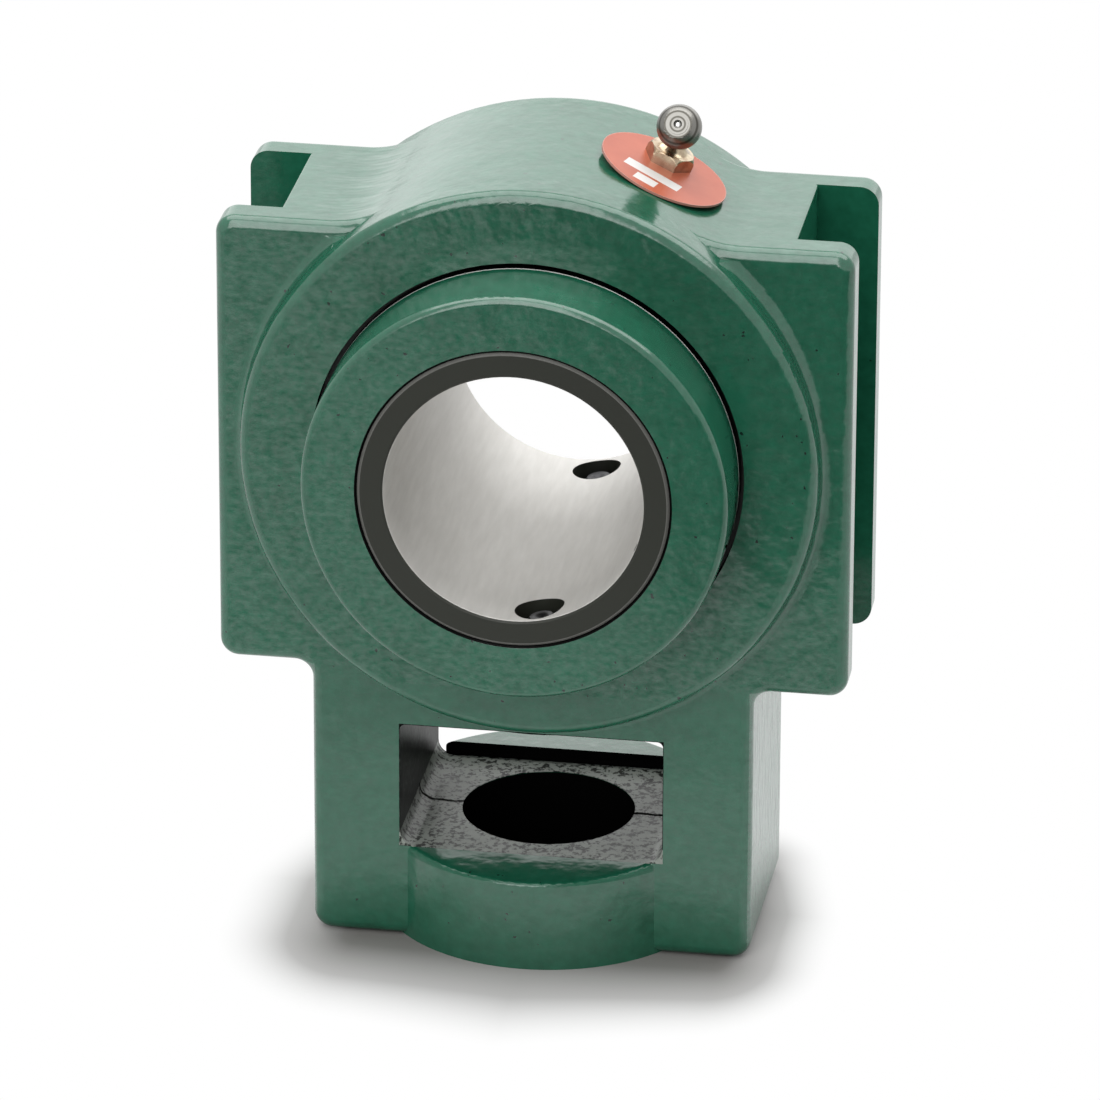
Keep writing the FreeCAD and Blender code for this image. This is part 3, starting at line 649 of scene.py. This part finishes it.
def housing_enamel():
    material, tree, shader = new_material("housing_enamel")
    place = object_place(tree)
    at = axes_of(tree, place)
    x, y, z = at
    window = in_window(tree, at)
    low = under(tree, z, WINDOW_FLOOR_Z + FLOOR_CORNER)
    # dark: painted shade of gaps, holes and the window step, and the real mould seam
    dark = any_of(tree, painted_shade_places(tree, at, window), mould_seam(tree, at, window))
    tree.links.new(housing_colour(tree, place, window, low, dark), shader.inputs["Base Color"])
    tree.links.new(blend_value(tree, window, COAT_ROUGHNESS, WINDOW_ROUGHNESS),
                   shader.inputs["Roughness"])
    tree.links.new(housing_gloss(tree, place, at, window, low, dark),
                   shader.inputs["Specular IOR Level"])
    shader.inputs["IOR"].default_value = ENAMEL_IOR
    outside = over(tree, size_of(tree, y), OUTER_FACES_Y)
    enamel_relief(tree, shader, place, blend_value(tree, outside, INNER_RELIEF, 1.0),
                  casting_marks(tree, shader, place, at))
    return material


housing_green = housing_enamel()
print(housing_green.name, len(housing_green.node_tree.nodes), "nodes")

# %% [markdown]
# ## The set collars
# A collar carries the same coat. Its part inside the housing is bare and painted near black as
# shade, and where the paint ends a thin line is painted near white as a highlight on the bare
# ground steel. The bore edge and the screw holes are painted near black as shade as well. Low
# on the right, the spray bridged the gap and broke off again, which left dark chips on the
# collar. Both collars use one recipe, counted from the housing face outwards, so the rear one
# is the front one turned round.

# %% Collar enamel
# A thin line painted near white: a painted highlight on the bare steel edge where the paint
# ends
HIGHLIGHT_LINE = (0.75, 0.75, 0.73)
HIGHLIGHT_LINE_W = 0.32 * MM
BORE_EDGE = 0.36 * MM
UNDER_RIM = 0.3 * MM          # the screw holes' mask starts this far under the rim
END_FACE = 0.5 * MM           # and stops this far inside the end face
CHIPS = (420.0, 3.0, 0.7)
CHIP_LEVEL = 0.58
CHIP_REACH = 5.0 * MM
CHIP_FROM_X, CHIP_TO_Z = 6 * MM, 4 * MM
COLLAR_ROUGHNESS = 0.18
COLLAR_RELIEF = 0.7
BARE_GLOSS = 0.02


def collar_shade_and_chips(tree, place, at, radius, out, reach):
    """Painted shade on the sunk end, bore edge and screw holes, and the real paint chips."""
    x, y, z = at
    holes = all_of(tree, under(tree, radius, COLLAR_R - UNDER_RIM),
                   under(tree, out, reach - END_FACE))
    chips = all_of(tree, over(tree, noise(tree, *CHIPS, place), CHIP_LEVEL),
                   under(tree, out, CHIP_REACH), over(tree, x, CHIP_FROM_X),
                   under(tree, z, CHIP_TO_Z))
    return any_of(tree, under(tree, out, SLACK), under(tree, radius, RACE_END_R + BORE_EDGE),
                  holes, chips)


def collar_enamel(name, face_y, end_y):
    """face_y is the housing face that the collar enters, end_y the collar's own end face."""
    outward = math.copysign(1.0, end_y - face_y)
    material, tree, shader = new_material(name)
    place = object_place(tree)
    at = axes_of(tree, place)
    x, y, z = at
    radius = length_of(tree, x, z)
    out = times_plus(tree, y, outward, -face_y * outward)
    dark = collar_shade_and_chips(tree, place, at, radius, out, abs(end_y - face_y))
    # Painted highlight: the bright line just outside the housing face
    line = all_of(tree, over(tree, out, SLACK), under(tree, out, SLACK + HIGHLIGHT_LINE_W),
                  over(tree, radius, COLLAR_R - 2 * SLACK))
    colour = blend_colour(tree, dark, enamel_colour(tree, place), SHADE_AND_MARK_BLACK)
    tree.links.new(blend_colour(tree, line, colour, HIGHLIGHT_LINE), shader.inputs["Base Color"])
    swing = blend_value(tree, faces_front_or_back(tree), PEBBLES_ON_ROUNDS, PEBBLES_ON_FACES)
    gloss = product(tree, blend_value(tree, dark, COAT_GLOSS, BARE_GLOSS),
                    pebbled_gloss(tree, place, swing))
    tree.links.new(gloss, shader.inputs["Specular IOR Level"])
    shader.inputs["Roughness"].default_value = COLLAR_ROUGHNESS
    shader.inputs["IOR"].default_value = ENAMEL_IOR
    enamel_relief(tree, shader, place, COLLAR_RELIEF)
    return material


front_collar_green = collar_enamel("front_collar_enamel", FRONT_FACE_Y, RACE_FRONT_Y)
rear_collar_green = collar_enamel("rear_collar_enamel", REAR_FACE_Y, RACE_REAR_Y)
print(front_collar_green.name, rear_collar_green.name)

# %% [markdown]
# ## The race
# The bore of the race is fine ground: bright, slightly grey and drawn out along the marks.
# The ends of the same race are black. One material does both, because it is one piece of
# steel. The corner outside the black face is a little worn and shows lighter.
# Fully metallic steel would turn as dark as the room in it, so the bore is only partly
# metallic and keeps some plain grey.

# %% Race steel
RACE_BLACK = (0.024, 0.026, 0.020)
RACE_WORN = (0.13, 0.13, 0.12)
WORN_DEPTH = 0.33 * MM
WORN_WIDTH = 0.45 * MM
GROUND_TONES = [(0.3, (0.55, 0.54, 0.515)), (0.7, (0.66, 0.65, 0.625))]
GRIND_SQUEEZE = (1.0, 0.15, 1.0)
GRIND_MARKS = (900.0, 3.0, 0.6)
GRIND_CLOUDS = (90.0, 2.0, 0.5)
GRIND_DEPTH = 0.03 * MM
GRIND_STRENGTH = 0.14
BORE_METALLIC = 0.6
BORE_ROUGHNESS = 0.6
BLACK_ROUGHNESS = 0.42
BLACK_GLOSS = 0.3


def race_steel():
    material, tree, shader = new_material("race_steel")
    place = object_place(tree)
    x, y, z = axes_of(tree, place)
    radius = length_of(tree, x, z)
    bore = under(tree, radius, SHAFT_R + SLACK / 2)
    near_end = any_of(tree, under(tree, y, RACE_FRONT_Y + WORN_DEPTH),
                      over(tree, y, RACE_REAR_Y - WORN_DEPTH))
    worn = all_of(tree, near_end, over(tree, radius, RACE_END_R - WORN_WIDTH))
    drawn = stretched(tree, place, GRIND_SQUEEZE)
    grain = noise(tree, *GRIND_MARKS, drawn)
    cloud = noise(tree, *GRIND_CLOUDS, drawn)
    tone = times_plus(tree, cloud, 0.5, product(tree, grain, 0.5))
    ground = ramp(tree, tone, GROUND_TONES)
    black = blend_colour(tree, worn, RACE_BLACK, RACE_WORN)
    tree.links.new(blend_colour(tree, bore, black, ground), shader.inputs["Base Color"])
    tree.links.new(blend_value(tree, bore, 0.0, BORE_METALLIC), shader.inputs["Metallic"])
    tree.links.new(blend_value(tree, bore, BLACK_ROUGHNESS, BORE_ROUGHNESS),
                   shader.inputs["Roughness"])
    shader.inputs["Specular IOR Level"].default_value = BLACK_GLOSS
    bump(tree, shader, grain, GRIND_STRENGTH, GRIND_DEPTH)
    return material


race_finish = race_steel()
print(race_finish.name, len(race_finish.node_tree.nodes), "nodes")

# %% [markdown]
# ## Plain metals and rubber
# Screws, rollers, cups, cages and seals are one colour each with a fine grain, so one recipe
# with a few numbers makes them all: ground steel for what rolls, pressed sheet for the cages,
# black oxide for screws and ring, and rubber for the seals.

# %% Plain metals and rubber
GRAIN_LOW = 0.82              # the darker grains have this share of the colour
GRAIN_SPREAD = (0.3, 0.7)
GRAIN_RELIEF = 0.2


def plain_metal(name, colour, roughness, grain=700.0, depth=0.03 * MM, metallic=1.0):
    material, tree, shader = new_material(name)
    grains = noise(tree, grain, detail=3.0, roughness=0.6)
    low = tuple(c * GRAIN_LOW for c in colour)
    tones = [(GRAIN_SPREAD[0], low), (GRAIN_SPREAD[1], colour)]
    tree.links.new(ramp(tree, grains, tones), shader.inputs["Base Color"])
    shader.inputs["Metallic"].default_value = metallic
    shader.inputs["Roughness"].default_value = roughness
    bump(tree, shader, grains, GRAIN_RELIEF, depth)
    return material


ground_steel = plain_metal("ground_steel", (0.62, 0.62, 0.61), roughness=0.22)
cage_sheet = plain_metal("cage_sheet", (0.45, 0.44, 0.41), roughness=0.38)
black_oxide = plain_metal("black_oxide", (0.05, 0.05, 0.052), roughness=0.34)
seal_rubber = plain_metal("seal_rubber", (0.022, 0.022, 0.021), roughness=0.45, grain=1200.0,
                          depth=0.04 * MM, metallic=0.0)
print(ground_steel.name, cage_sheet.name, black_oxide.name, seal_rubber.name)

# %% [markdown]
# ## The grease fitting
# The fitting is turned from one bar and plated. The plating is warm and yellowish on the
# hexagon and the neck, and the hardened head is plain grey with rings from the lathe.
# The head is a ball, so its mask is a distance from the ball's middle. The rings run round
# the head's own leaning axis: the cross product with that axis gives the distance from it,
# and a sine of the distance gives the rings.

# %% Plated fitting
HEAD_MIDDLE = (18.96 * MM, -0.665 * MM, 46.49 * MM)
HEAD_R = 3.33 * MM
HEAD_AXIS = (0.043459, -0.872736, 0.486255)
PLATE_TONES = [(0.35, (0.34, 0.25, 0.17)), (0.65, (0.50, 0.42, 0.30))]
PLATE_CLOUDS = (650.0, 3.0, 0.6)
PLATE_GRAIN = (1400.0, 2.0, 0.5)
PLATE_DEPTH = 0.04 * MM
PLATE_RELIEF = 0.25
PLATE_ROUGHNESS = 0.24
HEAD_TONES = [(0.1, (0.21, 0.205, 0.19)), (0.95, (0.07, 0.067, 0.058))]
HEAD_SLACK = 0.12 * MM        # how far outside the ball its mask reaches
HEAD_ROUGHNESS = 0.34
TURN_MARKS = 0.85 * MM        # from one ring to the next


def vector_node(tree, operation, vector, other):
    """Vector Math node with one linked and one fixed input."""
    made = node_of(tree, "ShaderNodeVectorMath", operation=operation)
    tree.links.new(vector, made.inputs[0])
    if other is not None:
        made.inputs[1].default_value = other
    return made


def turned_rings(tree, place):
    """Grey with darker rings round the head's own axis."""
    from_middle = vector_node(tree, "SUBTRACT", place, HEAD_MIDDLE).outputs["Vector"]
    across = vector_node(tree, "CROSS_PRODUCT", from_middle, HEAD_AXIS).outputs["Vector"]
    from_axis = vector_node(tree, "LENGTH", across, None).outputs["Value"]
    wave = arithmetic(tree, "SINE", product(tree, from_axis, 2 * math.pi / TURN_MARKS))
    return ramp(tree, wave, HEAD_TONES)


def plated_fitting():
    material, tree, shader = new_material("plated_fitting")
    place = object_place(tree)
    reach = vector_node(tree, "DISTANCE", place, HEAD_MIDDLE).outputs["Value"]
    head = under(tree, reach, HEAD_R + HEAD_SLACK)
    warm = ramp(tree, noise(tree, *PLATE_CLOUDS, place), PLATE_TONES)
    tree.links.new(blend_colour(tree, head, warm, turned_rings(tree, place)),
                   shader.inputs["Base Color"])
    shader.inputs["Metallic"].default_value = 1.0
    tree.links.new(blend_value(tree, head, PLATE_ROUGHNESS, HEAD_ROUGHNESS),
                   shader.inputs["Roughness"])
    bump(tree, shader, noise(tree, *PLATE_GRAIN, place), PLATE_RELIEF, PLATE_DEPTH)
    return material


fitting_plate = plated_fitting()
print(fitting_plate.name, len(fitting_plate.node_tree.nodes), "nodes")

# %% [markdown]
# ## The label washer
# The washer under the fitting is red, with two blank white bars and a thin pale edge where
# the print stops. An image would need unwrapping and a file. Its own plane leans with the
# crown, so the bars are found with two lengths in that plane: one across the part and one
# along the shaft, both turned a little as the washer is.

# %% Label print
GREASE_LEAN = math.radians(22.9)
LABEL_MIDDLE_Y = -0.4 * MM
LABEL_R = 9.8 * MM
LABEL_CLOUDS = (220.0, 2.0, 0.5)
LABEL_GRAIN = (700.0, 2.0, 0.5)
LABEL_DEPTH = 0.04 * MM
LABEL_RELIEF = 0.2
LABEL_ROUGHNESS = 0.38
LABEL_REDS = [(0.3, (0.41, 0.078, 0.032)), (0.7, (0.47, 0.102, 0.046))]
LABEL_WHITE = (0.70, 0.68, 0.66)
LABEL_EDGE = (0.46, 0.20, 0.16)
BAR_TURN = math.radians(-12.0)
LONG_BAR = ((-1.23 * MM, -4.1 * MM), (9.0 * MM, 2.5 * MM))      # middle and size
SHORT_BAR = ((-1.9 * MM, -7.1 * MM), (3.5 * MM, 2.3 * MM))


def printed_bar(tree, across, along, middle, size):
    """Mask of a slightly turned bar from its middle and its size in the label's plane."""
    u = arithmetic(tree, "SUBTRACT", across, middle[0])
    v = arithmetic(tree, "SUBTRACT", along, middle[1])
    c, s = math.cos(BAR_TURN), math.sin(BAR_TURN)
    length = times_plus(tree, v, s, product(tree, u, c))
    width = times_plus(tree, v, c, product(tree, u, -s))
    return all_of(tree, under(tree, size_of(tree, length), size[0] / 2),
                  under(tree, size_of(tree, width), size[1] / 2))


def label_print():
    material, tree, shader = new_material("label_print")
    place = object_place(tree)
    x, y, z = axes_of(tree, place)
    across = times_plus(tree, x, math.cos(GREASE_LEAN),
                        product(tree, z, -math.sin(GREASE_LEAN)))
    red = ramp(tree, noise(tree, *LABEL_CLOUDS, place), LABEL_REDS)
    bars = any_of(tree, printed_bar(tree, across, y, *LONG_BAR),
                  printed_bar(tree, across, y, *SHORT_BAR))
    colour = blend_colour(tree, bars, red, LABEL_WHITE)
    from_middle = length_of(tree, across, arithmetic(tree, "SUBTRACT", y, LABEL_MIDDLE_Y))
    edge = over(tree, from_middle, LABEL_R - SLACK)
    tree.links.new(blend_colour(tree, edge, colour, LABEL_EDGE), shader.inputs["Base Color"])
    shader.inputs["Roughness"].default_value = LABEL_ROUGHNESS
    bump(tree, shader, noise(tree, *LABEL_GRAIN, place), LABEL_RELIEF, LABEL_DEPTH)
    return material


red_label = label_print()
print(red_label.name, len(red_label.node_tree.nodes), "nodes")

# %% [markdown]
# ## Finishes onto the construction
# Every piece that shows gets its skin. The angle says which edges stay sharp: lower where
# small rounds meet flats, higher on the hexagon and neck of the fitting, whose steps are
# steep. The rest is sealed inside and only painted, found by a word in the node's name.

# %% Dress the nodes
smooth_skin("housing", housing_green, angle=28.0)
smooth_skin("front_collar", front_collar_green, angle=30.0)
smooth_skin("rear_collar", rear_collar_green, angle=30.0)
smooth_skin("inner_race", race_finish, angle=25.0)
smooth_skin("adjusting_ring", black_oxide)
smooth_skin("grease_fitting", fitting_plate, angle=40.0)
smooth_skin("check_ball", ground_steel)
smooth_skin("label_washer", red_label)
for side in ("front", "rear"):
    smooth_skin(side + "_seal", seal_rubber)
    for number in ("1", "2"):
        smooth_skin(side + "_set_screw_" + number, black_oxide, angle=30.0)

INSIDE_FINISHES = [("lock_pin", black_oxide), ("cage", cage_sheet), ("roller", ground_steel),
                   ("cup", ground_steel), ("spring", ground_steel)]
painted = 0
for node in NODES:
    for word, material in INSIDE_FINISHES:
        if word in node:
            paint(node, material)
            painted += 1
print(painted, "nodes painted inside")

# %% [markdown]
# ## The white sweep and its shadow
# The part stands on a white sweep that has no edge in the picture, so away from the part the
# floor glows as plain white to the camera and to reflections. Near the foot it is paper that
# keeps the real shadow, and its colour is also darkened there as a painted shadow. How far from
# the foot a place lies, counted in widths of the shadow, sets that painted darkening and the
# blend into the glow: the shadow is short beside the foot, longest in front, and gone behind.

# %% Floor
FOOT_Z = cad_box[0][2]
FLOOR_HALF = 3.0
# Where the shadow starts to fade, from the shaft axis, and the length over which it does
RIGHT_SHADOW = (28 * MM, 17 * MM)
LEFT_SHADOW = (26 * MM, 21 * MM)
FRONT_SHADOW = (18 * MM, 33.6 * MM)
CORNER_FADE = 10.0            # per metre sideways, the front shadow gets that much shorter
RIGHT_FADE = 1.5
BEHIND_FADE = 14.0
# Colour of the paper, darkened near the foot as a painted shadow
PAPER_WITH_PAINTED_SHADOW = [(0.0, (0.205, 0.193, 0.186)), (0.5, (0.36, 0.35, 0.343)), (1.0, (0.95, 0.945, 0.94))]
GLOW = [(0.1, 0.0), (0.5, 0.25), (0.8, 0.70), (1.0, 1.0)]
PAPER_ROUGHNESS = 0.9


def seen_directly(tree):
    """1 for what the camera sees straight, in a reflection or through glass."""
    rays = tree.nodes.new("ShaderNodeLightPath")
    return any_of(tree, rays.outputs["Is Camera Ray"], rays.outputs["Is Glossy Ray"],
                  rays.outputs["Is Transmission Ray"])


def faded(tree, distance, shadow, direction=1.0):
    """0 where a shadow starts to fade and 1 where it ends."""
    start, reach = shadow
    return times_plus(tree, distance, direction / reach, -start / reach)


def shadow_edge(tree, x, y):
    """0 at the foot and 1 where its shadow has faded; it reaches furthest to the front."""
    right = faded(tree, x, RIGHT_SHADOW)
    left = faded(tree, x, LEFT_SHADOW, -1.0)
    beside = not_below_zero(tree, arithmetic(tree, "MAXIMUM", right, left))
    front = faded(tree, size_of(tree, y), FRONT_SHADOW)
    shortening = times_plus(tree, size_of(tree, x), CORNER_FADE,
                            times_plus(tree, x, RIGHT_FADE, 1.0))
    ahead = product(tree, not_below_zero(tree, front), shortening)
    return times_plus(tree, not_below_zero(tree, y), BEHIND_FADE,
                      length_of(tree, beside, ahead))


def white_sweep():
    material, tree, shader = new_material("white_sweep")
    x, y, z = axes_of(tree, object_place(tree))
    away = shadow_edge(tree, x, y)
    # Painted shadow: the paper's colour darkens towards the foot
    tree.links.new(ramp(tree, away, PAPER_WITH_PAINTED_SHADOW), shader.inputs["Base Color"])
    shader.inputs["Roughness"].default_value = PAPER_ROUGHNESS
    glow = ramp(tree, away, [(position, (level,) * 3) for position, level in GLOW])
    white = tree.nodes.new("ShaderNodeEmission")
    mix = tree.nodes.new("ShaderNodeMixShader")
    tree.links.new(product(tree, glow, seen_directly(tree)), mix.inputs[0])
    tree.links.new(shader.outputs[0], mix.inputs[1])
    tree.links.new(white.outputs[0], mix.inputs[2])
    tree.links.new(mix.outputs[0], tree.nodes["Material Output"].inputs["Surface"])
    return material


def studio_floor():
    bm = bmesh.new()
    bmesh.ops.create_grid(bm, x_segments=1, y_segments=1, size=FLOOR_HALF)
    bmesh.ops.translate(bm, verts=bm.verts, vec=(0, 0, FOOT_Z))
    floor = new_object("studio_floor", bm)
    floor.data.materials.append(white_sweep())


studio_floor()
print("floor at", round(FOOT_Z / MM, 1), "mm")

# %% [markdown]
# ## Cards in front of the part
# The glossy faces look slightly down and mirror the sweep ahead of them, and all white would
# wash the green out. A photographer lays cards there. A grey one tones the whole mirror image
# down, and a black one ahead on the right keeps the right half deep green, down to the height
# where its near edge is mirrored. The camera does not see them: only reflections and the light
# that bounces off the floor do.

# %% Cards
GREY_CORNERS = [(0.35, -0.024), (-0.6, -0.178), (-0.6, -0.9), (0.35, -0.9)]
CARD_GLOSS = 0.1
BLACK_CORNERS = [(0.6, -0.162), (0.011, -0.162), (-0.289, -0.9), (0.6, -0.9)]


def floor_card(name, corners, height, level):
    """Card flat on the sweep in front of the part; only reflections and the light meet it."""
    bm = bmesh.new()
    bm.faces.new([bm.verts.new((x, y, FOOT_Z + height)) for x, y in corners])
    card = new_object(name, bm)
    card.visible_camera = False
    material, tree, shader = new_material(name + "_paper")
    shader.inputs["Base Color"].default_value = (level, level, level, 1.0)
    shader.inputs["Roughness"].default_value = PAPER_ROUGHNESS
    shader.inputs["Specular IOR Level"].default_value = CARD_GLOSS
    card.data.materials.append(material)


floor_card("grey_card", GREY_CORNERS, height=0.5 * MM, level=0.6)
floor_card("black_card", BLACK_CORNERS, height=MM, level=0.09)
print("two cards on the floor")

# %% [markdown]
# ## World and lamps
# The world is white where it is seen, but hardly lights the part, so that the lamps can shape
# it. The panel over the part lights its tops and gives the soft shadow round the foot. The
# front panel, high on the left, is as bright and opens the front faces. A weaker one behind
# makes the tops pale, because they mirror it at a shallow angle. A panel's level is its
# brightness, where 1 is the white of the picture, and its energy follows from its size.

# %% World and lamps
WORLD_LEVEL = 0.12
MIDDLE = (0.0, 0.0, -0.02)


def studio_world():
    world = bpy.data.worlds.new("studio")
    bpy.context.scene.world = world
    world.use_nodes = True
    tree = world.node_tree
    background = tree.nodes["Background"]
    background.inputs["Color"].default_value = (1, 1, 1, 1)
    tree.links.new(blend_value(tree, seen_directly(tree), WORLD_LEVEL, 1.0),
                   background.inputs["Strength"])


def soft_lamp(name, place, target, width, height, level):
    """Lit panel; level is its brightness, where 1 is the white of the picture."""
    light = bpy.data.lights.new(name, "AREA")
    light.shape = "RECTANGLE"
    light.size = width
    light.size_y = height
    light.energy = level * math.pi * width * height
    lamp = bpy.data.objects.new(name, light)
    bpy.context.scene.collection.objects.link(lamp)
    lamp.location = place
    away = Vector(place) - Vector(target)
    lamp.rotation_euler = away.to_track_quat("Z", "Y").to_euler()
    print(name, round(light.energy, 2), "W")


studio_world()
soft_lamp("back_panel", (0.05, 1.5, 0.6), MIDDLE, width=2.4, height=1.1, level=0.85)
soft_lamp("sky_panel", (0.1, 0.28, 1.05), (0.1, 0.28, 0.0), width=2.0, height=1.1, level=2.9)
soft_lamp("front_panel", (-0.25, -1.47, 1.03), MIDDLE, width=1.1, height=2.4, level=2.8)

# %% [markdown]
# ## The camera
# The photo was taken with a long lens, a little from the right and from above. Fitting about
# a hundred measured points gave the camera's place, so the render can be laid over the photo.
# Azimuth and elevation give the direction, a small roll tilts the frame, and a focal length in
# pixels becomes one in millimetres through the width of the sensor.

# %% Camera
CAMERA_AZIMUTH = 9.214
CAMERA_ELEVATION = 23.312
CAMERA_DISTANCE = 1.33706
CAMERA_ROLL = 0.193
CAMERA_TARGET = Vector((-0.000084, 0.0, -0.022091))
FOCAL_PIXELS = 9000.2
IMAGE_PIXELS = 1100.0
SHIFT_RIGHT_PIXELS = 0.842
SHIFT_UP_PIXELS = 0.25
SENSOR = 36.0
FAR_CLIP = 20.0


def photo_camera():
    a, e = math.radians(CAMERA_AZIMUTH), math.radians(CAMERA_ELEVATION)
    back = Vector((math.sin(a) * math.cos(e), -math.cos(a) * math.cos(e), math.sin(e)))
    right = Vector((math.cos(a), math.sin(a), 0.0))
    up = back.cross(right)
    turn = math.radians(CAMERA_ROLL)
    rolled_right = right * math.cos(turn) + up * math.sin(turn)
    rolled_up = up * math.cos(turn) - right * math.sin(turn)
    data = bpy.data.cameras.new("photo_camera")
    data.sensor_fit = "HORIZONTAL"
    data.sensor_width = SENSOR
    data.lens = FOCAL_PIXELS / IMAGE_PIXELS * SENSOR
    data.shift_x = SHIFT_RIGHT_PIXELS / IMAGE_PIXELS
    data.shift_y = SHIFT_UP_PIXELS / IMAGE_PIXELS
    data.clip_end = FAR_CLIP
    camera = bpy.data.objects.new("photo_camera", data)
    bpy.context.scene.collection.objects.link(camera)
    axes = Matrix((rolled_right, rolled_up, back)).transposed().to_4x4()
    camera.matrix_world = Matrix.Translation(CAMERA_TARGET + back * CAMERA_DISTANCE) @ axes
    bpy.context.scene.camera = camera
    return camera


print(photo_camera().name, "with a lens of", round(FOCAL_PIXELS / IMAGE_PIXELS * SENSOR), "mm")
bpy.context.scene.view_settings.view_transform = "Standard"
